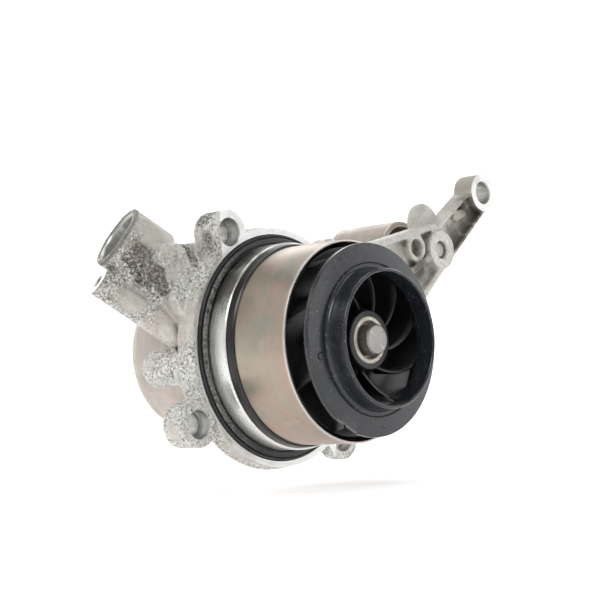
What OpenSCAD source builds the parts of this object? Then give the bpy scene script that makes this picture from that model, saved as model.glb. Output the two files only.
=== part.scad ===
// Belt-driven engine coolant pump with a sliding control sleeve over a closed impeller.
// The shaft lies along Y: the impeller points to -Y, the pulley to +Y, and Z is up.
// The origin is on the shaft axis, in the plane of the flange's mating face.

/* [Flange and casting] */
// Radius of the round flange at its mating face
flange_r = 48.1; // [47.6:0.1:49]
// Thickness of the flange
flange_t = 8; // [7:0.5:9]
// Outside radius of the spigot collar in front of the flange
collar_r = 41.5; // [41.5:0.1:41.8]
// Length of the spigot collar in front of the flange face
collar_len = 10.5; // [10:0.5:11]
// Radius of the cast drum behind the flange
drum_r = 42; // [42:0.5:44]
// Depth of the drum's back face behind the mating face
drum_back = 18; // [18:0.5:19.5]
// Radius of each bolt ear
ear_r = 9; // [8.5:0.5:10]
// Radius of the bolt hole in each ear
ear_hole_r = 4.5; // [4.2:0.1:4.6]

/* [Valve socket] */
// Direction of the valve socket round the shaft, in degrees from +X towards +Z
socket_angle = 142.7; // [141:0.5:145]
// Tilt of the valve socket towards the pulley
socket_tilt = 18.2; // [17:0.1:19]
// Distance of the socket's mouth from the shaft axis, along the socket
socket_len = 80; // [79:0.5:82]
// Outside radius of the socket
socket_r = 13.1; // [12.8:0.1:14]
// Bore radius of the socket
socket_bore_r = 10.1; // [9.5:0.1:10.5]

/* [Arm] */
// Middle boss of the arm, which carries the idler, across and up
mid_boss = [110.3, 42.2];
// End boss of the arm, across and up
end_boss = [144, 70];
// Depth of the arm's ribs
arm_t = 11; // [10:0.5:12]
// Radius of the hole in the end boss
end_hole_r = 5; // [4.5:0.1:5.5]

/* [Impeller] */
// Radius of the impeller's front shroud
impeller_r = 37.4; // [37:0.1:37.8]
// Number of vanes
vane_count = 9; // [7:1:10]
// Inside radius of the eye
eye_r = 25.4; // [25:0.1:25.8]

/* [Sleeve] */
// Outside radius of the sliding control sleeve
sleeve_r = 39.6; // [39.4:0.1:39.6]
// Wall of the control sleeve
sleeve_wall = 0.9; // [0.8:0.1:1]
// Front edge of the sleeve when it is fully open
sleeve_front = -40; // [-40.5:0.5:-39.5]

/* [Drive] */
// Radius of the pump's pulley
pulley_r = 32.2; // [31.5:0.1:32.5]
// Radius of the idler roller
idler_r = 15.6; // [15:0.1:16]
// Radius of the shaft under the impeller
shaft_r = 6; // [5.9:0.1:6]
// Radius of the shaft in the bearing
journal_r = 7.96; // [7.9:0.02:8]

/* [Hidden] */
$fn = 96;

// A solid that is cut away runs this far past the face it opens
past = 1;
// Ears as [angle round the shaft, distance from the shaft, depth]
ears = [[118.8, 52.5, 12.5], [-148.7, 55, 12.5], [-48.1, 52, 8], [28, 53, 8]];
flange_draft = 1.4;
counterbore_r = 5.45;
counterbore_depth = 5;
bolt_head_r = 7;
bolt_room = 25;
// Gasket groove in the flange face
groove_r = 45.7;
groove_depth = 2.5;
gasket_proud = 1.6;
// The collar steps down to its foot here, in front of the gasket
collar_step = -2.2;
foot_r = collar_r - 0.5;
// Valve socket stations, along the socket from the shaft axis
socket_root = 40;
socket_end = 62;
socket_slope = 4;
socket_depth = 17;
screw_face = 78;
screw_gap = 20.7;
screw_boss_r = 5.6;
// Blind pocket in the arm beside the middle boss
pocket = [93.4, 42.8];
// Chambers inside the casting, as radii from the core outwards
core_r = 24;
chamber_wall_in = 34;
chamber_wall_out = 37;
cavity_r = 40.7;
cavity_back_r = 40.05;
guide_seat = -3;
core_front = -24;
chamber_front = -6;
chamber_floor = 14;
cavity_floor = 5;
nose_r = 20;
// Bearing and mechanical seal
bearing_r = 15;
bearing_front = 8;
bearing_back = 46;
race_bore_r = 12.85;
seal_bore_r = 14.5;
seal_shoulder = -6;
weep_r = 11;
pitch_r = 10.4;
ball_r = 2.3;
roller_r = 2.25;
ball_row_y = 17;
roller_row = [29, 38];
// Plunger of the small hydraulic pump
plunger_at = [0, -19.3];
plunger_r = 2;
barrel_r = 3.5;
plunger_tip = -30.4;
plunger_back = -14;
barrel_back = -10;
// Impeller stations along the shaft
disc_front = -38.3;
disc_back = -36.5;
shroud_inside = -47.75;
shroud_rim = -49.75;
hub_r = 11.7;
hub_front = -47.7;
insert_r = 9.36;
eye_lip = -58.5;
shaft_front = -51.7;
shaft_back = 57;
// Pulley and idler stations along the shaft
belt_front = 22;
belt_back = 56;
idler_front = 22.6;
idler_back = 57;
idler_bore_r = 13.2;
idler_race = [28, 50];
idler_pitch_r = 9.6;
idler_rows = [33, 45];
idler_ball_count = 9;
bolt_r = 3.95;
bolt_hole_r = 4;

// ---- Helpers: everything round the shaft runs along Y ----

// Point at an angle and distance in the plane across the shaft
function polar(angle, r) = [r * cos(angle), r * sin(angle)];

// Solid cylinder along Y, from y0 to y1, at a point across the shaft
module rod(r, y0, y1, at = [0, 0]) {
    translate([at[0], y0, at[1]])
        rotate([-90, 0, 0])
            cylinder(r = r, h = y1 - y0);
}

// Cone along Y, from radius r0 at y0 to radius r1 at y1
module taper(r0, r1, y0, y1, at = [0, 0]) {
    translate([at[0], y0, at[1]])
        rotate([-90, 0, 0])
            cylinder(r1 = r0, r2 = r1, h = y1 - y0);
}

// Ring along Y
module ring(r_out, r_in, y0, y1, at = [0, 0]) {
    difference() {
        rod(r_out, y0, y1, at);
        rod(r_in, y0 - past, y1 + past, at);
    }
}

// Plate from y0 to y1, with its outline drawn across and up
module plate(y0, y1) {
    translate([0, y1, 0])
        rotate([90, 0, 0])
            linear_extrude(y1 - y0)
                children();
}

// Body of revolution about Y, from points of [radius, y]
module turned(points, at = [0, 0]) {
    translate([at[0], 0, at[1]])
        rotate([-90, 0, 0])
            rotate_extrude()
                polygon(points);
}

// Outline between two round ends, touching both
function strap_sides(p, rp, q, rq) =
    let (along = atan2(q[1] - p[1], q[0] - p[0]), open = acos((rp - rq) / norm(q - p)))
    [
        p + polar(along + open, rp), q + polar(along + open, rq),
        q + polar(along - open, rq), p + polar(along - open, rp)
    ];

// Bar with two round ends, from y0 to y1
module strap(p, rp, q, rq, y0, y1) {
    rod(rp, y0, y1, p);
    rod(rq, y0, y1, q);
    plate(y0, y1) polygon(strap_sides(p, rp, q, rq));
}

// Frame of the valve socket: its Z runs out of the mouth, its X round the shaft
module socket_frame() {
    translate([0, 2, 0])
        rotate([0, 90 - socket_angle, 0])
            rotate([-socket_tilt, 0, 0])
                children();
}

// Round wire wound along Y from y0 to y1, with closed ends cut square by the wire's own start and end
module coil(mean_r, wire_r, turns, y0, y1, steps, sides, at = [0, 0]) {
    n = steps * turns;
    length = y1 - y0 - 2 * wire_r;
    points = [
        for (i = [0:n], k = [0:sides - 1])
            let (a = 360 * i / steps, b = 360 * k / sides, r = mean_r + wire_r * cos(b))
            [
                at[0] + r * cos(a),
                y0 + wire_r + length * i / n + wire_r * sin(b),
                at[1] + r * sin(a)
            ]
    ];
    sides_of_wire = [
        for (i = [0:n - 1], k = [0:sides - 1])
            let (m = (k + 1) % sides)
            [i * sides + k, (i + 1) * sides + k, (i + 1) * sides + m, i * sides + m]
    ];
    first_end = [for (k = [0:sides - 1]) k];
    last_end = [for (k = [0:sides - 1]) n * sides + sides - 1 - k];
    polyhedron(points, concat([first_end], sides_of_wire, [last_end]));
}

// ---- Housing: one die casting with its machined bores ----

module bolt_ears() {
    for (e = ears) {
        centre = polar(e[0], e[1]);
        rod(ear_r, 0, e[2] - 1.5, centre);
        taper(ear_r, ear_r - 1.5, e[2] - 1.5, e[2], centre);
        strap(centre, ear_r - 2, polar(e[0], drum_r - 8), 13, 0.6, flange_t);
    }
}

// The mouth that takes the valve, and the smaller boss beside it for the valve's screw
module valve_socket() {
    socket_frame() {
        translate([0, 0, socket_end])
            cylinder(r = socket_r, h = socket_len - socket_end);
        translate([0, 0, socket_end - socket_slope])
            cylinder(r1 = socket_r - socket_slope, r2 = socket_r, h = socket_slope);
        translate([0, 0, socket_root])
            cylinder(r = socket_r - 3, h = socket_end - socket_root);
        translate([-screw_gap, 0, socket_root - 2])
            cylinder(r = screw_boss_r, h = screw_face - socket_root + 2);
        translate([-screw_gap, -4.5, socket_root])
            cube([screw_gap, 9, screw_face - socket_root - 3]);
    }
}

module socket_bores() {
    lead_in = 0.9;
    socket_frame() {
        translate([0, 0, socket_len - lead_in])
            cylinder(r1 = socket_bore_r, r2 = socket_bore_r + 2 * lead_in, h = 2 * lead_in);
        translate([0, 0, socket_len - socket_depth])
            cylinder(r = socket_bore_r, h = socket_depth + past);
        translate([0, 0, socket_len - 30])
            cylinder(r = 5, h = 14);
        translate([-screw_gap, 0, screw_face - 14])
            cylinder(r = 2.5, h = 14 + past);
    }
}

// Casting between the socket, the first ear and the drum
module socket_bridge() {
    difference() {
        union() {
            strap([-30, 37], 5.8, [-46, 35], 7, 7.2, 20);
            strap([-44, 30], 10, [-33, 12], 12, 6, 20);
        }
        // Hollow that narrows downwards between the socket and the ear
        plate(5, 10.3)
            polygon([[-46.5, 46], [-40.4, 32.2], [-36.9, 32.2], [-37.8, 46]]);
    }
    strap([-40, 30], 9, [-38, 16], 6, 14, 31);
    rod(4.6, 5.2, 16, [-53.8, 36.7]);
}

// Round lug beside the pulley
module side_lug() {
    rod(7.2, flange_t, 30, [-41, -6]);
    taper(7.2, 5, 30, 32.4, [-41, -6]);
}

module arm_solid() {
    top_root = [42, 37.3];
    low_root = [46, -23];
    top_tip = [108, 53];
    low_tip = [111.5, 33.6];
    rib = 1.5;
    rib_front = 1.3;
    plate(5, 8.5)
        polygon([[44, 37], top_tip, mid_boss + [4, 0], low_tip, [47, -22.5], [43, 0]]);
    strap(top_root, rib + 0.3, top_tip, rib, rib_front, arm_t);
    strap(low_root, rib + 1.5, low_tip, rib, rib_front, arm_t);
    strap([46, 9], rib + 0.6, [103, 38.5], rib, rib_front + 0.8, arm_t);
    strap([72, 4.5], rib, [66, 42.5], rib, rib_front + 1.2, arm_t);
    rod(7, 4, 13, [40, 39]);
    rod(9, 0.8, 5, mid_boss);
    taper(7.6, 9, 0, 0.8, mid_boss);
    rod(9.6, 3.5, 14, mid_boss);
    rod(6.2, 0.8, arm_t, pocket);
    strap([110.5, 55.2], 9.4, [112, 46], 9.4, 9.5, 13);
    taper(6, 9.4, 6.5, 9.5, [110.5, 55.2]);
    neck();
    rod(8.8, 0, arm_t, end_boss);
}

// Neck from the middle boss to the end boss: a web with a rib along each edge and a lump between
module neck() {
    start = [115, 45.6];
    finish = end_boss + [0.8, -1.6];
    strap(start, 8.6, finish, 7, 5, 8);
    difference() {
        strap(start, 8.6, finish, 7, 1.3, arm_t);
        strap(start, 6.9, finish, 5.3, -past, arm_t + past);
    }
    strap([126.5, 58.5], 2.6, [132, 60.5], 2.2, 2.8, 8);
}

module arm_bores() {
    rod(bolt_hole_r, -past, 14 + past, mid_boss);
    rod(end_hole_r, -past, arm_t + past, end_boss);
    rod(3.9, -past, 7, pocket);
}

// Drain from the space behind the seal: in, back past the ring piston's chamber, and down
module weep_passage() {
    drain_r = 1.2;
    drain_at = [0, -17.8];
    rod(drain_r, 5, 21, drain_at);
    for (leg = [[5.5, 10, 8.5], [20.5, 17, 12]])
        translate([0, leg[0], -leg[1]])
            rotate([180, 0, 0])
                cylinder(r = drain_r, h = leg[2]);
}

module housing() {
    color("lightgray")
    difference() {
        union() {
            taper(flange_r, flange_r + flange_draft, 0, flange_t);
            rod(drum_r, flange_t, drum_back);
            rod(collar_r, 0.6 - collar_len, groove_depth);
            taper(collar_r - 0.5, collar_r, -collar_len, 0.6 - collar_len);
            rod(nose_r, drum_back, bearing_back - 0.5);
            taper(26, nose_r, drum_back, drum_back + 4);
            bolt_ears();
            valve_socket();
            socket_bridge();
            side_lug();
            arm_solid();
        }
        // Gasket groove round the collar
        difference() {
            rod(groove_r, collar_step, groove_depth);
            rod(foot_r, collar_step - past, groove_depth + past);
        }
        // Space for the sleeve and the ring piston
        difference() {
            union() {
                rod(cavity_r, -collar_len - past, guide_seat);
                rod(cavity_back_r, guide_seat - past, cavity_floor);
            }
            rod(chamber_wall_out, -collar_len - 2 * past, cavity_floor + past);
        }
        difference() {
            rod(chamber_wall_in, -collar_len - past, chamber_floor);
            rod(core_r, -collar_len - 2 * past, chamber_floor + past);
        }
        rod(chamber_wall_out + 0.5, -collar_len - past, chamber_front);
        // Bores along the shaft
        rod(weep_r, -collar_len - past, bearing_front + past);
        rod(bearing_r, bearing_front, bearing_back + past);
        for (e = ears) {
            centre = polar(e[0], e[1]);
            rod(ear_hole_r, -past, e[2] + past, centre);
            rod(counterbore_r, -past, counterbore_depth, centre);
            rod(bolt_head_r, e[2], e[2] + bolt_room, centre);
        }
        socket_bores();
        arm_bores();
        weep_passage();
        // Room for the pulley
        ring(pulley_r + 1.4, nose_r + 6, belt_front - 1.6, belt_back + 10);
    }
    core();
}

// Core in front of the seal shoulder: it guides the ring piston and holds the seal
module core() {
    color("lightgray")
    difference() {
        rod(core_r, core_front, chamber_front);
        rod(seal_bore_r, core_front - past, seal_shoulder + past);
        rod(barrel_r, core_front - past, barrel_back, plunger_at);
        rod(plunger_r + 0.3, barrel_back - past, chamber_front - 1, plunger_at);
        difference() {
            rod(core_r + past, core_front + 0.8, core_front + 2);
            rod(core_r - 1, core_front, core_front + 3);
        }
    }
}

module flange_gasket() {
    lip = 0.9;
    color([0.13, 0.13, 0.14])
    turned([
        [foot_r + 0.05, groove_depth], [foot_r + 0.05, -gasket_proud],
        [collar_r + lip, -gasket_proud - 0.2], [collar_r + 1.7, -0.7],
        [groove_r - 1.5, -0.5], [groove_r - 1.1, -0.9],
        [groove_r - 0.3, -0.5], [groove_r - 0.05, 0.3], [groove_r - 0.05, groove_depth]
    ]);
}

// ---- Control sleeve, its piston and spring ----

module guide_ring() {
    bore = sleeve_r + 0.08;
    color([0.1, 0.09, 0.08])
    turned([
        [bore, -13.6], [bore + 0.35, -14], [cavity_r - 0.1, -13], [cavity_r + 0.1, -collar_len - 0.3],
        [cavity_r, -collar_len - 0.3], [cavity_r, guide_seat], [bore, guide_seat]
    ]);
}

module control_sleeve() {
    color([0.72, 0.66, 0.6])
        ring(sleeve_r, sleeve_r - sleeve_wall, sleeve_front, 3);
}

module ring_piston() {
    color([0.25, 0.25, 0.27])
    difference() {
        union() {
            ring(chamber_wall_in - 0.1, core_r + 0.1, 2, 12);
            ring(chamber_wall_in - 0.1, 31, -18, 2);
            ring(sleeve_r - sleeve_wall, 31, -20, -18);
        }
        ring(chamber_wall_in + past, chamber_wall_in - 1.6, 6, 9);
        ring(core_r + 1.6, core_r - past, 6, 9);
    }
}

module piston_seals() {
    color([0.08, 0.08, 0.08]) {
        ring(chamber_wall_in - 0.05, chamber_wall_in - 1.6, 6.1, 8.9);
        ring(core_r + 1.6, core_r + 0.05, 6.1, 8.9);
    }
}

module return_spring() {
    color("silver")
        coil(27, 1, 4.5, core_front + 3.5, 2, 24, 8);
}

module spring_retainer() {
    color([0.7, 0.7, 0.68])
        ring(30, core_r, core_front + 2, core_front + 3.5);
}

module retainer_clip() {
    color([0.3, 0.3, 0.32])
    difference() {
        ring(core_r + 1.6, core_r - 1, core_front + 0.8, core_front + 2);
        translate([-4, core_front, core_r - 4])
            cube([8, 3, 8]);
    }
}

// ---- Small plunger pump that supplies the pressure ----

module pump_barrel() {
    color("silver")
        ring(barrel_r, plunger_r + 0.05, core_front, barrel_back, plunger_at);
}

module pump_plunger() {
    color("gainsboro") {
        rod(plunger_r, plunger_tip + 1, plunger_back, plunger_at);
        taper(plunger_r - 0.8, plunger_r, plunger_tip, plunger_tip + 1, plunger_at);
    }
}

module plunger_spring() {
    color("silver")
        coil(1.45, 0.3, 5, plunger_back, chamber_front - 1, 16, 6, plunger_at);
}

// ---- Impeller ----

// Backward-swept vane seen from the front, as one curved wall of even thickness
function vane_line(t) = polar(62 * t, 12 + 24.9 * t);

module vane_wall() {
    steps = 10;
    half = 0.9;
    line = [for (i = [0:steps]) vane_line(i / steps)];
    normal = [
        for (i = [0:steps])
            let (d = line[min(i + 1, steps)] - line[max(i - 1, 0)])
            [-d[1], d[0]] / norm(d)
    ];
    near_side = [for (i = [0:steps]) line[i] + half * normal[i]];
    far_side = [for (i = [0:steps]) line[steps - i] - half * normal[steps - i]];
    plate(-52, disc_front + 0.2) polygon(concat(near_side, far_side));
}

module vanes() {
    first_vane = 60;
    intersection() {
        for (i = [0:vane_count - 1])
            rotate([0, -first_vane - i * 360 / vane_count, 0]) vane_wall();
        turned([
            [10.5, disc_front + 0.2], [10.5, -44.5], [16, -46.5], [24, -49.4],
            [27, -48.9], [30, -48.2], [36.9, shroud_inside], [36.9, disc_front + 0.2]
        ]);
    }
}

// Ring on the back of the disc whose tilted face drives the plunger
module swash_ring() {
    low = -32.9;
    difference() {
        ring(23, 15, disc_back - 0.1, low + 3);
        translate([0, low, 0])
            rotate([2.5, 0, 0])
                translate([-30, 0, -30])
                    cube([60, 10, 60]);
    }
}

module impeller() {
    color([0.16, 0.17, 0.2]) {
        turned([
            [insert_r, hub_front], [hub_r - 0.6, hub_front], [hub_r, hub_front + 0.6], [12.3, -44],
            [14, -41.2], [17.5, -39.4], [23, disc_front], [37, disc_front], [37, disc_back],
            [12.5, disc_back], [12.5, -28.5], [journal_r + 0.4, -28.5], [shaft_r, -30.3],
            [shaft_r, -33], [insert_r, -33]
        ]);
        vanes();
        swash_ring();
    }
}

module impeller_shroud() {
    notch = [-128, -110];
    color([0.2, 0.21, 0.25])
    difference() {
        turned([
            [impeller_r, shroud_inside], [impeller_r, shroud_rim + 0.3], [impeller_r - 0.3, shroud_rim],
            [30.6, -50.6], [29.8, -50.7], [29.4, -50.2], [28.2, -50.2], [27.5, -50.9], [27, -53],
            [26.9, -57.9], [26.4, eye_lip], [25.8, eye_lip], [eye_r, -58], [eye_r, -51.4],
            [26, -49.6], [27.4, -48.9], [30, -48.2]
        ]);
        for (a = [notch[0]:3:notch[1]])
            rotate([0, -a, 0])
                translate([impeller_r - 0.8, shroud_rim - past, -1.1])
                    cube([4, 6, 2.2]);
    }
}

module impeller_insert() {
    recess_floor = -44.1;
    color([0.75, 0.72, 0.66])
    turned([
        [shaft_r, -33], [shaft_r, recess_floor], [7.25, recess_floor], [7.25, -47.5],
        [7.6, -47.9], [insert_r - 0.4, -47.9], [insert_r, -47.5], [insert_r, -33]
    ]);
}

// ---- Shaft, bearing and mechanical seal ----

module shaft() {
    chamfer = 0.5;
    color([0.8, 0.8, 0.8])
    turned([
        [0, shaft_front], [shaft_r - chamfer, shaft_front], [shaft_r, shaft_front + chamfer],
        [shaft_r, -28.4], [journal_r - 0.3, -28.4], [journal_r, -28], [journal_r, shaft_back - 0.7],
        [journal_r - 0.7, shaft_back], [0, shaft_back]
    ]);
}

module bearing_outer_race() {
    color([0.6, 0.6, 0.62])
        ring(bearing_r, race_bore_r, bearing_front, bearing_back);
}

module bearing_balls() {
    balls = 9;
    color("silver")
    for (i = [0:balls - 1])
        rotate([0, i * 360 / balls, 0])
            translate([pitch_r, ball_row_y, 0])
                sphere(r = ball_r, $fn = 48);
}

module bearing_rollers() {
    rollers = 12;
    color("silver")
    for (i = [0:rollers - 1])
        rod(roller_r, roller_row[0], roller_row[1], polar(i * 360 / rollers, pitch_r));
}

module bearing_cages() {
    balls = 9;
    rollers = 12;
    color([0.75, 0.6, 0.35]) {
        difference() {
            ring(11.2, 9.6, ball_row_y - 2.9, ball_row_y + 2.9);
            for (i = [0:balls - 1])
                rotate([0, i * 360 / balls, 0])
                    translate([pitch_r - 4, ball_row_y, 0])
                        rotate([0, 90, 0]) cylinder(r = ball_r + 0.1, h = 8);
        }
        difference() {
            ring(11.2, 9.6, roller_row[0] - 1.5, roller_row[1] + 1.5);
            for (i = [0:rollers - 1])
                rod(roller_r + 0.1, roller_row[0] - 0.1, roller_row[1] + 0.1, polar(i * 360 / rollers, pitch_r));
        }
    }
}

module bearing_seals() {
    color([0.1, 0.1, 0.1]) {
        ring(race_bore_r, journal_r + 0.1, bearing_front + 0.6, bearing_front + 2);
        ring(race_bore_r, journal_r + 0.1, bearing_back - 2, bearing_back - 0.6);
    }
}

module seal_cup() {
    color([0.8, 0.68, 0.4]) {
        ring(seal_bore_r, seal_bore_r - 1, core_front + 2, seal_shoulder);
        ring(seal_bore_r - 0.9, 9.2, seal_shoulder - 1, seal_shoulder);
    }
}

module seal_bellows() {
    color([0.07, 0.07, 0.07])
    turned([
        [9, seal_shoulder - 1], [9, -10], [9.6, -11.5], [9, -13], [9, -18], [11.6, -18], [11.6, -16.6],
        [10, -16.4], [10, -13.2], [10.9, -11.5], [10, -9.8], [10, -8.6], [12.6, -8.2],
        [12.6, seal_shoulder - 1]
    ]);
}

module seal_spring() {
    color("silver")
        coil(12.3, 0.4, 3, -16.5, -8.3, 16, 6);
}

module carbon_ring() {
    color([0.2, 0.2, 0.2])
        ring(11.6, 9, -21.6, -18);
}

module seat_ring() {
    color([0.9, 0.88, 0.82])
        ring(12.6, 8.8, -25, -21.75);
}

module seat_cup() {
    color([0.1, 0.1, 0.1]) {
        ring(12.6, journal_r, -27.2, -25);
        ring(8.8, journal_r, -25, -22.2);
    }
}

// ---- Pulley and idler ----

module pulley() {
    rim_in = 29.5;
    color([0.72, 0.66, 0.6])
    turned([
        [rim_in, belt_front + 0.4], [rim_in + 0.4, belt_front], [pulley_r - 0.4, belt_front],
        [pulley_r, belt_front + 0.4], [pulley_r, 51], [pulley_r - 0.3, 53.4], [30.8, belt_back - 0.4],
        [30.2, belt_back], [28.9, belt_back], [28.5, belt_back - 0.5], [28.3, 53.6], [27.3, 53],
        [14, 53], [13, 54], [13, 57.2], [journal_r, 57.2], [journal_r, 47.5], [13, 47.5], [13, 50.2],
        [28.5, 50.2], [rim_in, 49.2]
    ]);
}

module idler_roller() {
    edge = 0.8;
    color([0.72, 0.66, 0.6])
    turned([
        [idler_bore_r, idler_front + 0.3], [idler_bore_r + 0.3, idler_front],
        [idler_r - edge, idler_front], [idler_r, idler_front + edge], [idler_r, idler_back - edge],
        [idler_r - edge, idler_back], [idler_bore_r + 0.3, idler_back],
        [idler_bore_r, idler_back - 0.3]
    ], mid_boss);
}

module idler_outer_race() {
    color([0.6, 0.6, 0.62])
        ring(idler_bore_r, 11.4, idler_race[0], idler_race[1], mid_boss);
}

module idler_inner_race() {
    color([0.6, 0.6, 0.62])
        ring(7.8, bolt_hole_r, idler_race[0] - 2, idler_race[1] + 2, mid_boss);
}

module idler_balls() {
    color("silver")
    for (y = idler_rows, i = [0:idler_ball_count - 1]) {
        p = mid_boss + polar(i * 360 / idler_ball_count, idler_pitch_r);
        translate([p[0], y, p[1]])
            sphere(r = 1.65, $fn = 48);
    }
}

module idler_cage() {
    color([0.15, 0.15, 0.14])
    for (y = idler_rows)
        difference() {
            ring(10.2, 9, y - 2.4, y + 2.4, mid_boss);
            for (i = [0:idler_ball_count - 1])
                translate([mid_boss[0], y, mid_boss[1]])
                    rotate([0, -i * 360 / idler_ball_count, 0])
                        translate([7, 0, 0])
                            rotate([0, 90, 0]) cylinder(r = 1.7, h = 5);
        }
}

module idler_seals() {
    color([0.3, 0.13, 0.09]) {
        ring(idler_bore_r, 7.95, idler_race[0] - 1.2, idler_race[0], mid_boss);
        ring(idler_bore_r, 7.95, idler_race[1], idler_race[1] + 1.2, mid_boss);
    }
}

module idler_spacer() {
    color("silver")
        ring(8.4, bolt_hole_r, 14, 26, mid_boss);
}

module idler_bolt() {
    tip = 1.8;
    washer_back = 53.6;
    color([0.5, 0.5, 0.5]) {
        rod(bolt_r, tip + 0.8, 52, mid_boss);
        taper(bolt_r - 0.9, bolt_r, tip, tip + 0.8, mid_boss);
        rod(9, 52, washer_back, mid_boss);
        translate([mid_boss[0], washer_back, mid_boss[1]])
            rotate([-90, 0, 0]) cylinder(r = 7.5, h = 5, $fn = 6);
    }
}

housing();
flange_gasket();
guide_ring();
spring_retainer();
retainer_clip();
return_spring();
ring_piston();
piston_seals();
control_sleeve();
pump_barrel();
pump_plunger();
plunger_spring();
impeller();
impeller_shroud();
impeller_insert();
shaft();
bearing_outer_race();
bearing_balls();
bearing_rollers();
bearing_cages();
bearing_seals();
seal_cup();
seal_bellows();
seal_spring();
carbon_ring();
seat_ring();
seat_cup();
pulley();
idler_roller();
idler_outer_race();
idler_inner_race();
idler_balls();
idler_cage();
idler_seals();
idler_spacer();
idler_bolt();
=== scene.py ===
"""The looks of the engine coolant pump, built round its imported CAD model.

Lengths are in millimetres until a mesh is made. The shaft lies along Y, with the impeller towards -Y.
"""
import math

import bmesh
import bpy
from mathutils import Matrix, Vector


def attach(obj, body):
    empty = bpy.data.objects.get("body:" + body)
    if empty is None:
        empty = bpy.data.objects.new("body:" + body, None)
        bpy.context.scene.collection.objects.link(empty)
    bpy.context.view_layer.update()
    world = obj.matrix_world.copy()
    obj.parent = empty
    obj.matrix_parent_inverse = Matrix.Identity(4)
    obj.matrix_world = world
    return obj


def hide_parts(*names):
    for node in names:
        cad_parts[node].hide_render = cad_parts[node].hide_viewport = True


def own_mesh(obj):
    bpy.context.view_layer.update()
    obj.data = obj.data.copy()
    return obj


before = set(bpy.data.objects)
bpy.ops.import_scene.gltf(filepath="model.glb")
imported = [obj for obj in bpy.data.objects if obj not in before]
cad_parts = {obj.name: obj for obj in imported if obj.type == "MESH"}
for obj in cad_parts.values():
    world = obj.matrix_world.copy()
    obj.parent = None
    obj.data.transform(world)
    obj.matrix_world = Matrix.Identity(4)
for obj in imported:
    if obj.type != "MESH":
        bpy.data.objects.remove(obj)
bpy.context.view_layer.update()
MM = 0.001

# Places shared by several pieces, all as in the CAD
EARS = ((118.8, 52.5), (-148.7, 55), (-48.1, 52), (28, 53))  # (angle, radius) round the shaft
MIDDLE_BOSS = (110.3, 42.2)  # (x, z)
ARM_END = (144, 70)
SOCKET_ANGLE, SOCKET_TILT = 142.7, 18.2  # the valve socket's direction, in degrees
SOCKET_MOUTH = 80  # distances from the shaft along the socket
SCREW_FACE = 78
SCREW_ASIDE = -20.7  # the screw hole's distance to the side of the socket
FLANGE_INNER = 44  # the flange's face lies outside this radius


# ---- Meshes ----

def polar(angle, radius):
    """Point across the shaft, at an angle in degrees from +X towards +Z."""
    return radius * math.cos(math.radians(angle)), radius * math.sin(math.radians(angle))


def rounded(points, steps=5):
    """Closed outline of (radius, y) or (radius, y, fillet) with each filleted corner drawn as an arc."""
    out = []
    count = len(points)
    for i, point in enumerate(points):
        here = Vector(point[:2])
        fillet = point[2] if len(point) > 2 else 0
        if not fillet:
            out.append(here)
            continue
        back = Vector(points[i - 1][:2]) - here
        on = Vector(points[(i + 1) % count][:2]) - here
        reach = min(fillet, 0.48 * back.length, 0.48 * on.length)
        first, last = here + back.normalized() * reach, here + on.normalized() * reach
        for k in range(steps + 1):
            t = k / steps
            out.append(first * (1 - t) ** 2 + here * (2 * t * (1 - t)) + last * t * t)
    return out


def add_mesh(name, verts, faces, materials=(), picks=None, sharp=35):
    """A new object from points in millimetres, with smooth shading except at sharp edges."""
    mesh = bpy.data.meshes.new(name)
    mesh.from_pydata([(x * MM, y * MM, z * MM) for x, y, z in verts], [], faces)
    for material in materials:
        mesh.materials.append(material)
    if picks:
        mesh.polygons.foreach_set("material_index", picks)
    bm = bmesh.new()
    bm.from_mesh(mesh)
    bmesh.ops.remove_doubles(bm, verts=bm.verts, dist=1e-7)
    bmesh.ops.recalc_face_normals(bm, faces=bm.faces)
    bm.to_mesh(mesh)
    bm.free()
    mesh.shade_smooth()
    mesh.set_sharp_from_angle(angle=math.radians(sharp))
    obj = bpy.data.objects.new(name, mesh)
    bpy.context.scene.collection.objects.link(obj)
    return obj


def lathe_parts(outline, at=(0, 0), steps=240, first=0):
    """Points and faces of a closed outline of (radius, y) turned about an axis along Y."""
    n = len(outline)
    verts = []
    for i in range(steps):
        c, s = math.cos(2 * math.pi * i / steps), math.sin(2 * math.pi * i / steps)
        verts += [(at[0] + p[0] * c, p[1], at[1] + p[0] * s) for p in outline]
    faces = []
    for i in range(steps):
        j = (i + 1) % steps
        for k in range(n):
            m = (k + 1) % n
            faces.append([first + v for v in (i * n + k, i * n + m, j * n + m, j * n + k)])
    return verts, faces


def lathe(name, points, materials, at=(0, 0), steps=240, pick=None, sharp=35):
    """A turned piece. pick(radius, y) gives the material's number at the middle of a stretch."""
    outline = rounded(points)
    verts, faces = lathe_parts(outline, at, steps)
    picks = None
    if pick:
        n = len(outline)
        one = [pick(*((outline[k] + outline[(k + 1) % n]) / 2)) for k in range(n)]
        picks = one * steps
    return add_mesh(name, verts, faces, materials, picks, sharp)


def apply_modifiers(obj):
    """The object's mesh becomes what its modifiers make of it."""
    bpy.context.view_layer.update()
    evaluated = obj.evaluated_get(bpy.context.evaluated_depsgraph_get())
    mesh = bpy.data.meshes.new_from_object(evaluated)
    old = obj.data
    obj.modifiers.clear()
    obj.data = mesh
    mesh.name = obj.name
    bpy.data.meshes.remove(old)


def piece(obj, body, slot, *nodes):
    """Puts a finished piece on its body, in the place of CAD nodes."""
    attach(obj, body)
    if nodes:
        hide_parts(*nodes)
    return obj


# ---- Materials ----

def shade(colour, share):
    """The colour made lighter or darker."""
    return tuple(v * share for v in colour)


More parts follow.
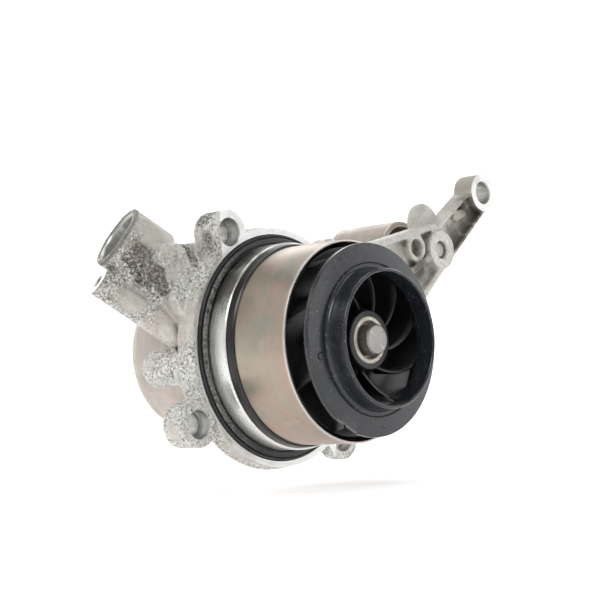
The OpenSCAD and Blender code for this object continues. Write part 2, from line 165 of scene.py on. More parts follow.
class Paint:
    """Builds one material's nodes. Scales are in features per metre of the object's own space."""

    def __init__(self, name, **shader):
        self.material = bpy.data.materials.new(name)
        self.material.use_nodes = True
        self.tree = self.material.node_tree
        self.shader = self.tree.nodes["Principled BSDF"]
        for key, value in shader.items():
            self.shader.inputs[key.replace("_", " ")].default_value = value
        self.place = self.tree.nodes.new("ShaderNodeTexCoord").outputs["Object"]

    def node(self, kind, inputs=None, **settings):
        made = self.tree.nodes.new(kind)
        for key, value in settings.items():
            setattr(made, key, value)
        for key, value in (inputs or {}).items():
            self.put(made.inputs[key], value)
        return made

    def put(self, socket, value):
        if isinstance(value, bpy.types.NodeSocket):
            self.tree.links.new(value, socket)
        else:
            socket.default_value = value

    def stretch(self, scale):
        """The place, scaled by its own number along each axis."""
        return self.node("ShaderNodeMapping", {"Vector": self.place, "Scale": scale}).outputs[0]

    def noise(self, scale, detail=4, rough=0.55, warp=0.0, where=None):
        return self.node(
            "ShaderNodeTexNoise",
            {
                "Vector": where or self.place, "Scale": scale, "Detail": detail,
                "Roughness": rough, "Distortion": warp,
            },
        ).outputs["Fac"]

    def cells(self, scale):
        """Distance from the nearest of many scattered points."""
        return self.node("ShaderNodeTexVoronoi", {"Vector": self.place, "Scale": scale}).outputs["Distance"]

    def step(self, value, low, high, to_low=0.0, to_high=1.0):
        """A smooth rise from one value to another."""
        return self.node(
            "ShaderNodeMapRange",
            {"Value": value, "From Min": low, "From Max": high, "To Min": to_low, "To Max": to_high},
            interpolation_type="SMOOTHSTEP",
        ).outputs[0]

    def math(self, kind, a, b=0.0):
        return self.node("ShaderNodeMath", {0: a, 1: b}, operation=kind).outputs[0]

    def mix(self, share, a, b):
        """Colour a turning into colour b."""
        made = self.node("ShaderNodeMix", data_type="RGBA")
        self.put(made.inputs["Factor"], share)
        for socket, value in zip([s for s in made.inputs if s.type == "RGBA"], (a, b)):
            self.put(socket, value if isinstance(value, bpy.types.NodeSocket) else (*value, 1))
        return [s for s in made.outputs if s.type == "RGBA"][0]

    def edges(self, low=0.51, high=0.6):
        """1 on outward edges, 0 on flats and in corners."""
        found = self.node("ShaderNodeNewGeometry").outputs["Pointiness"]
        return self.step(found, low, high)

    def split(self):
        """The place's x, y and z, in metres."""
        return tuple(self.node("ShaderNodeSeparateXYZ", {0: self.place}).outputs)

    def patch(self, centre, radius, ragged=0.35, soft=0.25):
        """1 near a point given in millimetres, fading out with a ragged border."""
        middle = [v * MM for v in centre]
        away = self.node("ShaderNodeVectorMath", {0: self.place, 1: middle}, operation="DISTANCE")
        uneven = self.math("SUBTRACT", self.noise(230, 4, 0.65, 0.5), 0.5)
        edge = self.math("MULTIPLY", uneven, 2 * ragged * radius * MM)
        far = self.math("ADD", away.outputs["Value"], edge)
        return self.step(far, radius * MM * (1 + soft), radius * MM * (1 - soft))

    def patches(self, marks, ragged=0.35, soft=0.25):
        """The strongest of several patches."""
        found = [self.patch(centre, radius, ragged, soft) for centre, radius in marks]
        out = found[0]
        for other in found[1:]:
            out = self.math("MAXIMUM", out, other)
        return out

    def bump(self, height, strength, distance, after=None):
        made = self.node("ShaderNodeBump", {"Height": height, "Strength": strength, "Distance": distance})
        if after:
            self.put(made.inputs["Normal"], after)
        return made.outputs[0]

    def done(self, colour, rough=None, normal=None):
        for key, value in (("Base Color", colour), ("Roughness", rough), ("Normal", normal)):
            if value is not None:
                self.put(self.shader.inputs[key], value)
        return self.material


SOCKET_AXIS = (
    math.cos(math.radians(SOCKET_ANGLE)) * math.cos(math.radians(SOCKET_TILT)),
    math.sin(math.radians(SOCKET_TILT)),
    math.sin(math.radians(SOCKET_ANGLE)) * math.cos(math.radians(SOCKET_TILT)),
)
# Marks on the casting as (centre in millimetres, radius)
SMOOTH_SKIN = (((-51, 12, 45), 9), ((-47, 8, 10), 10), ((-63, 16, 21), 6), ((-52, 6, -30), 5))
BROWN_STAIN = (((-61, 14, 37), 6), ((-57, 13, 30), 6.5), ((-52, 11, 26), 4.5))
DARK_SKIN = (((-32, 7, 54), 5.5), ((-34, 4, 44), 2.6), ((-41, 11, 38), 4))
# Dark patches in the arm's recesses: painted shade
ARM_RECESS_SHADE = (
    ((141, 4, 59), 6), ((126, 4, 47), 7.5), ((134, 4, 53), 5), ((133, 2.5, 64), 4.5), ((97, 4, 33), 6),
)
ARM_BROWN = (((138, 6, 76), 9), ((128, 6, 62), 8))


def cast_metal():
    """Die-cast aluminium: corroded areas of white and dark specks, smooth areas, stains, worn edges, and
    painted shade in hollows and in the arm's recesses.
    """
    p = Paint("cast_metal", Metallic=0.3, Specular_IOR_Level=0.5)
    wide = p.noise(38, 3, 0.6, 0.4)
    base = p.mix(p.step(wide, 0.42, 0.62), (0.55, 0.55, 0.50), (0.57, 0.51, 0.46))
    base = p.mix(p.step(p.noise(170, 4, 0.65, 0.5), 0.45, 0.65), base, (0.68, 0.66, 0.62))
    smooth = p.patches(SMOOTH_SKIN, 0.4, 0.3)
    on_arm = p.step(p.split()[0], 0.055, 0.075)
    base = p.mix(p.math("MULTIPLY", on_arm, 0.75), base, (0.47, 0.46, 0.415))
    # The skin is darker towards the valve socket's mouth
    along = p.node("ShaderNodeVectorMath", {0: p.place, 1: SOCKET_AXIS}, operation="DOT_PRODUCT")
    along = along.outputs["Value"]
    base = p.mix(p.math("MULTIPLY", p.step(along, 0.052, 0.078), 0.7), base, (0.34, 0.33, 0.28))
    # Where corrosion has roughened the skin: smooth skin and the arm have little of it
    rough_zone = p.step(p.noise(48, 4, 0.65, 0.6), 0.34, 0.52, 0.15)
    rough_zone = p.math("MULTIPLY", rough_zone, p.math("SUBTRACT", 1.0, p.math("MULTIPLY", smooth, 0.92)))
    rough_zone = p.math("MULTIPLY", rough_zone, p.math("SUBTRACT", 1.0, p.math("MULTIPLY", on_arm, 0.85)))
    grains = p.noise(980, 4, 0.78, 0.5)
    coarse = p.noise(430, 5, 0.75, 0.9)
    salt = p.math("MAXIMUM", p.step(grains, 0.5, 0.56), p.math("MULTIPLY", p.step(coarse, 0.54, 0.6), 0.8))
    pepper = p.math("MAXIMUM", p.step(grains, 0.44, 0.38), p.math("MULTIPLY", p.step(coarse, 0.4, 0.34), 0.9))
    colour = p.mix(p.math("MULTIPLY", salt, rough_zone), base, (0.93, 0.93, 0.90))
    colour = p.mix(p.math("MULTIPLY", p.step(along, 0.0788, 0.0803), 0.85), colour, (0.20, 0.195, 0.16))
    brown = p.math("MULTIPLY", p.patches(BROWN_STAIN, 0.6, 0.25), p.step(grains, 0.6, 0.5, 0.3, 0.9))
    colour = p.mix(brown, colour, (0.125, 0.10, 0.085))
    dark = p.math("MULTIPLY", p.patches(DARK_SKIN, 0.5, 0.25), p.step(grains, 0.6, 0.46, 0.25, 0.9))
    colour = p.mix(dark, colour, (0.085, 0.08, 0.065))
    colour = p.mix(p.math("MULTIPLY", p.patches(ARM_BROWN, 0.4, 0.5), 0.7), colour, (0.30, 0.265, 0.23))
    # Painted shade: dark patches in the arm's recesses
    arm_recess_shade = p.math("MULTIPLY", p.patches(ARM_RECESS_SHADE, 0.6, 0.5), 0.9)
    colour = p.mix(arm_recess_shade, colour, (0.075, 0.065, 0.05))
    # Painted shade: ambient occlusion darkens hollows and creases, on top of the dark corrosion specks
    hollow = p.node("ShaderNodeAmbientOcclusion", {"Distance": 0.006}, samples=8).outputs["AO"]
    hollow_shade = p.step(hollow, 0.72, 0.2)
    specks_and_shade = p.math("MULTIPLY", pepper, p.math("ADD", p.math("MULTIPLY", rough_zone, 0.85), 0.1))
    specks_and_shade = p.math("MINIMUM", p.math("ADD", specks_and_shade, p.math("MULTIPLY", hollow_shade, 0.75)), 0.94)
    colour = p.mix(specks_and_shade, colour, (0.055, 0.05, 0.04))
    worn = p.math("MULTIPLY", p.edges(0.52, 0.58), p.step(p.noise(340, 3), 0.4, 0.55))
    colour = p.mix(p.math("MULTIPLY", worn, 0.75), colour, (0.92, 0.91, 0.88))
    uneven = p.math("ADD", p.math("MULTIPLY", specks_and_shade, 0.5), p.math("MULTIPLY", rough_zone, 0.5))
    rough = p.step(uneven, 0.0, 1.0, 0.36, 0.75)
    height = p.math("MULTIPLY", p.math("SUBTRACT", salt, p.math("MULTIPLY", pepper, 1.3)), rough_zone)
    normal = p.bump(height, 0.7, 0.0003, p.bump(p.noise(420, 4, 0.6), 0.25, 0.0006))
    return p.done(colour, rough, normal)


def machined_metal(name, tint, stain, rough):
    """Milled or bored aluminium with soft stains and specks."""
    p = Paint(name, Metallic=0.9)
    fine = p.noise(1500, 2, 0.6)
    blotch = p.step(p.noise(70, 4, 0.6, 0.5), 0.5, 0.72)
    base = p.mix(p.math("MULTIPLY", fine, 0.5), tint, shade(tint, 0.8))
    colour = p.mix(p.math("MULTIPLY", blotch, stain), base, (0.24, 0.22, 0.19))
    specks = p.math("MULTIPLY", p.step(p.noise(900, 4, 0.7), 0.6, 0.68), 0.45)
    colour = p.mix(specks, colour, (0.2, 0.18, 0.16))
    spread = p.step(p.math("ADD", fine, p.math("MULTIPLY", blotch, 0.5)), 0.2, 1.2, *rough)
    return p.done(colour, spread, p.bump(fine, 0.25, 0.0001))


def collar_metal():
    """The turned collar: bright, with a dark stain at the upper left and fine specks low down."""
    p = Paint("turned_collar", Metallic=0.9)
    fine = p.noise(1, 3, 0.6, 0.0, p.stretch((60, 5200, 60)))
    base = p.mix(p.math("MULTIPLY", fine, 0.4), (0.90, 0.90, 0.88), (0.76, 0.76, 0.74))
    stain = p.patch((-34, -2.2, 24), 11, 0.6, 0.5)
    stain = p.math("MAXIMUM", stain, p.patch((-22, -2.2, 35), 10, 0.6, 0.5))
    colour = p.mix(p.math("MULTIPLY", stain, 0.85), base, (0.10, 0.095, 0.08))
    low = p.patch((-36, -5, -22), 17, 0.3, 0.5)
    specks = p.step(p.noise(1500, 4, 0.75), 0.54, 0.64)
    dotted = p.math("MULTIPLY", specks, p.math("ADD", p.math("MULTIPLY", low, 0.5), 0.15))
    colour = p.mix(dotted, colour, (0.18, 0.17, 0.15))
    spread = p.step(p.math("ADD", fine, p.math("MULTIPLY", specks, 0.4)), 0.2, 1.2, 0.24, 0.45)
    return p.done(colour, spread, p.bump(fine, 0.2, 0.00008))


def sleeve_metal(name, tints, pits, bands, highlight_lip=None):
    """Drawn steel that has taken a tan and pink tint, with soft blotches, faint bands and small pits.

    If a lip is given, it is the y in metres of an open end whose rim gets a painted highlight, a paler band."""
    p = Paint(name, Metallic=0.85)
    wide = p.noise(34, 4, 0.6, 1.2)
    along = p.noise(1, 3, 0.6, 0.2, p.stretch((14, 260, 14)))
    base = p.mix(p.step(wide, 0.41, 0.59), tints[0], tints[1])
    blotches = p.math("MULTIPLY", p.step(p.noise(52, 5, 0.65, 1.4), 0.47, 0.65), 0.7)
    base = p.mix(blotches, base, tints[2])
    pink = p.math("MULTIPLY", p.step(p.noise(85, 5, 0.7, 1.0), 0.53, 0.66), 0.35)
    base = p.mix(pink, base, shade(tints[1], 1.3))
    base = p.mix(p.math("MULTIPLY", p.step(along, 0.4, 0.7), bands * 0.5), base, shade(tints[0], 1.2))
    dots = p.math("MULTIPLY", p.step(p.cells(520), 0.16, 0.08), p.step(p.noise(90, 3), 0.45, 0.6))
    colour = p.mix(p.math("MULTIPLY", dots, pits), base, (0.12, 0.1, 0.09))
    colour = p.mix(p.edges(0.53, 0.62), colour, (0.85, 0.83, 0.8))
    if highlight_lip:
        # Painted highlight: a paler band round the rim of the open end
        edge = p.math("ADD", p.split()[1], p.math("MULTIPLY", p.noise(160, 3), 0.0006))
        colour = p.mix(p.math("MULTIPLY", p.step(edge, highlight_lip + 0.0014, highlight_lip), 0.75), colour, (0.74, 0.70, 0.70))
    spread = p.step(p.math("ADD", wide, p.math("MULTIPLY", along, 0.5)), 0.4, 1.1, 0.3, 0.46)
    normal = p.bump(p.noise(1, 4, 0.6, 0.0, p.stretch((500, 2600, 500))), 0.12, 0.00008)
    return p.done(colour, spread, normal)


def plastic(name, colour, worn, rough=(0.28, 0.5), grain=0.5, rub=0.5, dust=()):
    """Moulded glass-filled plastic, with faint flow marks, rubbed edges and, near given marks, pale dust."""
    p = Paint(name, Metallic=0.0, Specular_IOR_Level=0.6)
    wide = p.step(p.noise(75, 4, 0.6, 0.6), 0.45, 0.72)
    scuffs = p.step(p.noise(420, 5, 0.7, 0.4), 0.55, 0.75)
    base = p.mix(p.math("MULTIPLY", wide, 0.5), colour, shade(colour, 1.6))
    rubbed = p.math("ADD", p.math("MULTIPLY", scuffs, 0.35), p.math("MULTIPLY", p.edges(0.52, 0.6), rub))
    base = p.mix(p.math("MINIMUM", rubbed, 0.8), base, worn)
    if dust:
        specks = p.math("MULTIPLY", p.step(p.noise(1500, 3, 0.75), 0.6, 0.68), p.patches(dust, 0.4, 0.6))
        base = p.mix(p.math("MULTIPLY", specks, 0.6), base, (0.36, 0.36, 0.34))
    spread = p.step(p.math("ADD", wide, p.math("MULTIPLY", scuffs, 0.5)), 0.0, 1.4, *rough)
    normal = p.bump(p.noise(1400, 4, 0.65), grain * 0.3, 0.0001)
    return p.done(base, spread, normal)


def rubber(name, colour, dust):
    """Rubber with dust in places."""
    p = Paint(name, Metallic=0.0, Specular_IOR_Level=0.4)
    wide = p.step(p.noise(110, 4, 0.6, 0.5), 0.45, 0.7)
    fine = p.step(p.noise(900, 4, 0.7), 0.5, 0.75)
    dusty = p.math("MULTIPLY", p.math("ADD", p.math("MULTIPLY", wide, 0.6), 0.15), fine)
    base = p.mix(dusty, colour, dust)
    normal = p.bump(p.noise(1800, 3, 0.6), 0.25, 0.0001)
    return p.done(base, p.step(wide, 0.0, 1.0, 0.5, 0.8), normal)


def worn_gasket():
    """Black rubber whose front ridge is rubbed grey on the -X side and still glossy elsewhere."""
    p = Paint("gasket_rubber", Metallic=0.0, Specular_IOR_Level=0.5)
    x, y, _ = p.split()
    side = p.step(p.math("ADD", x, p.math("MULTIPLY", p.noise(60, 3), 0.02)), -0.008, -0.03)
    front = p.step(y, -0.0011, -0.00142)
    mottle = p.step(p.noise(700, 5, 0.75, 0.6), 0.36, 0.6)
    rubbed = p.math("MULTIPLY", p.math("MULTIPLY", side, front), mottle)
    dust = p.math("MULTIPLY", p.step(p.noise(1100, 4, 0.7), 0.58, 0.7), 0.3)
    grey = p.math("MAXIMUM", p.math("MULTIPLY", rubbed, 0.95), dust)
    base = p.mix(grey, (0.012, 0.012, 0.013), (0.25, 0.25, 0.235))
    spread = p.step(rubbed, 0.0, 1.0, 0.28, 0.75)
    return p.done(base, spread, p.bump(p.noise(1300, 4, 0.7), 0.35, 0.00015))


def plain_steel(name, tint, rough=(0.22, 0.42), metal=0.95, spots=0.25):
    """Ground steel with fine grinding lines and a few dark spots."""
    p = Paint(name, Metallic=metal)
    lines = p.noise(1, 3, 0.6, 0.0, p.stretch((400, 4200, 400)))
    wide = p.noise(150, 4, 0.6, 0.5)
    base = p.mix(p.step(wide, 0.4, 0.7), tint, shade(tint, 0.8))
    base = p.mix(p.math("MULTIPLY", p.step(p.noise(800, 4, 0.7), 0.58, 0.7), spots), base, (0.12, 0.10, 0.08))
    base = p.mix(p.math("MULTIPLY", p.edges(0.52, 0.6), 0.6), base, (0.85, 0.85, 0.84))
    return p.done(base, p.step(p.math("ADD", lines, wide), 0.5, 1.5, *rough), p.bump(lines, 0.15, 0.00006))


CAST = cast_metal()
FACE = machined_metal("machined_face", (0.80, 0.80, 0.79), 0.25, (0.34, 0.5))
BORE = machined_metal("machined_bore", (0.50, 0.50, 0.48), 0.5, (0.3, 0.5))
COLLAR = collar_metal()
SLEEVE = sleeve_metal(
    "sleeve_steel", ((0.41, 0.355, 0.285), (0.45, 0.335, 0.285), (0.33, 0.325, 0.275)), 0.4, 0.4, highlight_lip=-0.0396
)
PULLEY = sleeve_metal(
    "pulley_steel", ((0.46, 0.42, 0.38), (0.42, 0.36, 0.32), (0.32, 0.29, 0.265)), 0.5, 1.0
)
IDLER = sleeve_metal(
    "idler_steel", ((0.52, 0.47, 0.42), (0.46, 0.40, 0.35), (0.38, 0.34, 0.30)), 0.8, 0.4
)
SHROUD = plastic(
    "shroud_plastic", (0.017, 0.019, 0.023), (0.13, 0.14, 0.15), (0.20, 0.36), grain=0.1,
    dust=(((-34, -50, 8), 6), ((-33, -50, -6), 4), ((-27, -56, 4), 3)),
)
VANES = plastic("impeller_plastic", (0.004, 0.004, 0.004), (0.022, 0.02, 0.016), (0.34, 0.55), rub=0.25)
PISTON = plastic("piston_plastic", (0.03, 0.03, 0.033), (0.1, 0.1, 0.1))
GUIDE = plastic("guide_plastic", (0.007, 0.006, 0.0045), (0.04, 0.035, 0.027), (0.3, 0.5))
GASKET = worn_gasket()
RUBBER = rubber("black_rubber", (0.014, 0.014, 0.015), (0.10, 0.095, 0.09))
RED_SEAL = rubber("idler_seal", (0.07, 0.024, 0.015), (0.16, 0.08, 0.05))
STEEL = plain_steel("ground_steel", (0.60, 0.60, 0.60))
SHAFT = plain_steel("shaft_steel", (0.36, 0.35, 0.33), (0.3, 0.5), 0.85)
DARK_STEEL = plain_steel("dark_steel", (0.14, 0.14, 0.145))
SPRING = plain_steel("spring_steel", (0.42, 0.42, 0.43))
BOLT = plain_steel("bolt_steel", (0.42, 0.40, 0.38), (0.35, 0.55), spots=0.6)
INSERT = plain_steel("insert_metal", (0.56, 0.52, 0.46), (0.35, 0.55), 0.85, 0.4)
BRASS = plain_steel("cage_brass", (0.62, 0.46, 0.22))
CARBON = plastic("carbon", (0.04, 0.04, 0.042), (0.12, 0.12, 0.12), (0.3, 0.4))
CERAMIC = plastic("ceramic", (0.62, 0.60, 0.55), (0.7, 0.68, 0.62), (0.25, 0.4))

NODE_MATERIALS = {
    "spring_retainer": STEEL, "retainer_clip": DARK_STEEL, "return_spring": SPRING,
    "ring_piston": PISTON, "piston_seals": RUBBER, "pump_barrel": STEEL, "pump_plunger": STEEL,
    "plunger_spring": SPRING, "bearing_outer_race": STEEL, "bearing_balls": STEEL,
    "bearing_rollers": STEEL, "bearing_cages": BRASS, "bearing_seals": RUBBER, "seal_cup": BRASS,
    "seal_bellows": RUBBER, "seal_spring": SPRING, "carbon_ring": CARBON, "seat_ring": CERAMIC,
    "seat_cup": RUBBER, "idler_outer_race": STEEL, "idler_inner_race": STEEL, "idler_balls": STEEL,
    "idler_cage": PISTON, "idler_seals": RED_SEAL, "idler_spacer": STEEL, "idler_bolt": BOLT,
    "housing": CAST, "flange_gasket": GASKET, "guide_ring": GUIDE, "control_sleeve": SLEEVE,
    "impeller": VANES, "impeller_shroud": SHROUD, "impeller_insert": INSERT, "shaft": SHAFT,
    "pulley": PULLEY, "idler_roller": IDLER,
}
for node_name, material in NODE_MATERIALS.items():
    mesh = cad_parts[node_name].data
    mesh.materials.clear()
    mesh.materials.append(material)
    for face in mesh.polygons:
        face.material_index = 0


# ---- Casting ----

def socket_frame():
    """Matrix in metres whose Z runs out of the valve socket's mouth and whose X runs round the shaft."""
    turn = Matrix.Rotation(math.radians(90 - SOCKET_ANGLE), 4, "Y")
    turn = turn @ Matrix.Rotation(math.radians(-SOCKET_TILT), 4, "X")
    return Matrix.Translation((0, 2 * MM, 0)) @ turn


def cutter(name, outline, at=(0, 0)):
    """A turned tool for cutting, from an outline of (radius, y)."""
    verts, faces = lathe_parts([Vector(p) for p in outline], at, 128)
    return add_mesh(name, verts, faces)


def socket_cutter(name, outline, aside=0):
    """A turned tool along the valve socket: y in the outline is the distance from the shaft axis."""
    made = cutter(name, [(r, -s) for r, s in outline])
    made.data.transform(Matrix.Rotation(math.radians(-90), 4, "X"))
    made.data.transform(Matrix.Translation((aside * MM, 0, 0)))
    made.data.transform(socket_frame())
    return made


def plain_box(name, low, high, turn=None):
    """A box between two corners, as a tool for cutting."""
    bm = bmesh.new()
    bmesh.ops.create_cube(bm, size=1)
    for vertex in bm.verts:
        for k in range(3):
            vertex.co[k] = (low[k] if vertex.co[k] < 0 else high[k]) * MM
    mesh = bpy.data.meshes.new(name)
    bm.to_mesh(mesh)
    bm.free()
    if turn is not None:
        mesh.transform(turn)
    obj = bpy.data.objects.new(name, mesh)
    bpy.context.scene.collection.objects.link(obj)
    return obj


def casting():
    """The housing with cast fillets all over and crisp machined faces and bores."""
    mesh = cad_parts["housing"].data.copy()
    mesh.materials.clear()
    obj = bpy.data.objects.new("pump_casting", mesh)
    bpy.context.scene.collection.objects.link(obj)
    bm = bmesh.new()
    bm.from_mesh(mesh)
    bmesh.ops.remove_doubles(bm, verts=bm.verts, dist=2e-6)
    # Faces to be machined are drawn out first, so that a flat cut afterwards leaves them sharp
    near = 0.02
    to_socket = socket_frame().inverted()
    for vertex in bm.verts:
        local = to_socket @ vertex.co
        from_shaft = math.hypot(vertex.co.x, vertex.co.z)
        from_socket = math.hypot(local.x, local.y)
        from_screw = math.hypot(local.x - SCREW_ASIDE * MM, local.y)
        if abs(vertex.co.y) < near * MM and from_shaft > FLANGE_INNER * MM:
            vertex.co.y = -2 * MM
        elif abs(local.z - SOCKET_MOUTH * MM) < near * MM and from_socket < 14 * MM:
            vertex.co = socket_frame() @ Vector((local.x, local.y, (SOCKET_MOUTH + 0.5) * MM))
        elif abs(local.z - SCREW_FACE * MM) < near * MM and from_screw < 6 * MM:
            vertex.co = socket_frame() @ Vector((local.x, local.y, (SCREW_FACE + 2) * MM))
    bm.to_mesh(mesh)
    bm.free()
    remesh = obj.modifiers.new("remesh", "REMESH")
    remesh.mode = "VOXEL"
    remesh.voxel_size = 0.55 * MM
    smooth = obj.modifiers.new("smooth", "SMOOTH")
    smooth.factor = 0.5
    smooth.iterations = 12
    for name, size, strength in (("lumps", 5.5, 0.22), ("grain", 1.7, 0.14)):
        clouds = bpy.data.textures.new("cast_" + name, "CLOUDS")
        clouds.noise_scale = size * MM
        skin = obj.modifiers.new(name, "DISPLACE")
        skin.texture = clouds
        skin.texture_coords = "LOCAL"
        skin.mid_level = 0.5
        skin.strength = strength * MM
    apply_modifiers(obj)
    tools = [
        plain_box("cut_front", (30, -8, -75), (165, 0, 90)),
        plain_box("cut_left", (-90, -8, -75), (-30, 0, 90)),
        plain_box("cut_top", (-31, -8, 30), (31, 0, 90)),
        plain_box("cut_bottom", (-31, -8, -75), (31, 0, -30)),
        cutter("cut_ring", [(38.2, -20), (46.9, -20), (46.9, 2.6), (38.2, 2.6)]),
        cutter("cut_seat", [(36.9, -20), (40.4, -20), (40.4, 2.6), (36.9, 2.6)]),
        cutter("cut_cavity", [(37, -20), (40.05, -20), (40.05, 5), (37, 5)]),
        cutter("cut_chamber", [(24, -16), (34, -16), (34, 14), (24, 14)]),
        cutter("cut_bearing", [(0, 8), (15.02, 8), (15.02, 60), (0, 60)]),
        cutter("cut_weep", [(0, -8), (11, -8), (11, 9), (0, 9)]),
        cutter("cut_seal", [(0, -30), (14.5, -30), (14.5, -6), (0, -6)]),
        cutter("cut_barrel", [(0, -30), (3.5, -30), (3.5, -10), (0, -10)], (0, -19.3)),
        socket_cutter("cut_screw_face", [(0, 78), (6.4, 78), (6.4, 90), (0, 90)], SCREW_ASIDE),
        socket_cutter("cut_socket", [(0, 63), (10.12, 63), (10.12, 79.2), (10.9, 80), (11.1, 90), (0, 90)]),
        socket_cutter(
            "cut_screw", [(0, 64), (2.5, 64), (2.5, 77.4), (3.1, 78.1), (3.1, 90), (0, 90)], SCREW_ASIDE
        ),
        cutter("cut_middle", [(0, -5), (4.7, -5), (4.7, 0), (4.02, 0.7), (4.02, 20), (0, 20)], MIDDLE_BOSS),
        cutter("cut_end", [(0, -5), (5.5, -5), (5.5, 0), (5.02, 0.5), (5.02, 20), (0, 20)], ARM_END),
    ]
    # Each ear has a dowel's counterbore in front of its bolt hole
    ear_hole = [(0, -5), (5.75, -5), (5.75, 0), (5.47, 0.3), (5.47, 5), (4.55, 5), (4.55, 20), (0, 20)]
    for ear in EARS:
        tools.append(cutter("cut_ear", ear_hole, polar(*ear)))
    for k, tool in enumerate(tools):
        made = obj.modifiers.new(f"cut_{k}", "BOOLEAN")
        made.operation = "DIFFERENCE"
        made.solver = "MANIFOLD"
        made.object = tool
    apply_modifiers(obj)
    for tool in tools:
        bpy.data.objects.remove(tool)
    mesh = obj.data
    mesh.materials.clear()
    for material in (CAST, FACE, BORE):
        mesh.materials.append(material)
    skin, flat, bored = 0, 1, 2
    holes = [polar(*ear) for ear in EARS] + [ARM_END]
    for face in mesh.polygons:
        c, n = face.center / MM, face.normal
        local = to_socket @ face.center / MM
        from_shaft = math.hypot(c.x, c.z)
        from_socket = math.hypot(local.x, local.y)
        from_screw = math.hypot(local.x - SCREW_ASIDE, local.y)
        pick = skin
        if abs(c.y) < near and n.y < -0.99 and from_shaft > FLANGE_INNER:
            # The middle boss is left as cast
            pick = skin if math.hypot(c.x - MIDDLE_BOSS[0], c.z - MIDDLE_BOSS[1]) < 12 else flat
        elif abs(local.z - SCREW_FACE) < near and from_screw < 6.4:
            pick = flat
        elif 62.9 < local.z < SOCKET_MOUTH and from_socket < 11.3:
            pick = bored
        elif local.z > 63.9 and from_screw < 3.2:
            pick = bored
        elif any(math.hypot(c.x - x, c.z - z) < 5.8 and c.y < 13.5 for x, z in holes):
            pick = bored if n.y > -0.9 else flat
        elif from_shaft < 15.1 or (24 <= from_shaft < 40.8 and c.y < 14.1):
            pick = bored
        face.material_index = pick
    mesh.shade_smooth()
    mesh.set_sharp_from_angle(angle=math.radians(32))
    return obj


piece(casting(), "casting", "cast", "housing")

piece(
    lathe(
        "flange_ring",
        [
            (46.95, 0), (45.9, 0, 0.1), (45.7, 0.25, 0.1), (45.7, 2.62), (41, 2.62), (41, -2.2, 0.05),
            (41.5, -2.2, 0.15), (41.5, -9.9, 0.3), (41.0, -10.5, 0.15), (40.75, -10.5, 0.1), (40.7, -3),
            (40.08, -3), (40.08, 2.7), (46.95, 2.7),
        ],
        [FACE, COLLAR],
        pick=lambda r, y: 1 if r < 42.5 else 0,
    ),
    "casting", "cast",
)


# ---- Seals, rings, spring and sleeve at the front of the casting ----

piece(
    lathe(
        "gasket_ring",
        [
            (41.05, 2.5), (41.05, -0.9, 0.2), (41.75, -0.7, 0.2), (42.0, -1.6, 0.3), (43.2, -1.78, 0.6),
            (44.2, -1.5, 0.3), (44.45, -0.5, 0.2), (44.75, -0.4, 0.15), (44.95, -0.95, 0.2),
            (45.3, -0.85, 0.25), (45.6, 0.1, 0.2), (45.64, 2.5),
        ],
        [GASKET], sharp=60,
    ),
    "casting", "gasket", "flange_gasket",
)

piece(
    lathe(
        "guide_front",
        [
            (39.68, -3), (39.68, -13.5, 0.1), (39.9, -13.95, 0.15), (40.5, -13.1, 0.2),
            (40.8, -10.85, 0.1), (40.68, -10.6), (40.68, -3),
        ],
        [GUIDE], sharp=50,
    ),
    "casting", "guide_ring", "guide_ring",
)


def coil(name, mean, wire, turns, y0, y1, material):
    """A round-wire compression spring about the shaft, with closed ends."""
    steps, sides = 56, 12  # round each turn, and round the wire
    count = int(steps * turns)
    verts = []
    for i in range(count + 1):
        turn = 2 * math.pi * i / steps
        rise = y0 + wire + (y1 - y0 - 2 * wire) * i / count
        for k in range(sides):
            b = 2 * math.pi * k / sides
            far = mean + wire * math.cos(b)
            verts.append((far * math.cos(turn), rise + wire * math.sin(b), far * math.sin(turn)))
    faces = [list(range(sides)), [count * sides + sides - 1 - k for k in range(sides)]]
    for i in range(count):
        for k in range(sides):
            m = (k + 1) % sides
            faces.append([i * sides + k, (i + 1) * sides + k, (i + 1) * sides + m, i * sides + m])
    return add_mesh(name, verts, faces, [material])


# The spring shortens from 22.5 to 10.5 mm as the ring piston pushes the sleeve forward
spring_front, spring_back, sleeve_travel = -20.5, 2, 12
return_coil = piece(
    coil("return_coil", 27, 1, 4.5, spring_front, spring_back, SPRING),
    "casting", "spring_steel", "return_spring",
)
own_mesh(return_coil)

piece(
    lathe(
        "sleeve_shell",
        [(39.6, 3, 0.2), (38.7, 3, 0.2), (38.7, -40, 0.3), (39.6, -40, 0.35)],
        [SLEEVE], steps=320,
    ),
    "sleeve", "sleeve_steel", "control_sleeve",
)


# ---- Impeller ----

VANE_COUNT, VANE_START = 9, 60
VANE_ROOT, VANE_SPAN = 12, 24.9
VANE_SWEEP = 62  # degrees from a vane's root to its tip
VANE_LEAN = 6.5  # degrees at the tip, from the shroud to the disc
RIM_R = 26  # inside this radius a vane's top edge is free, and a little thinner


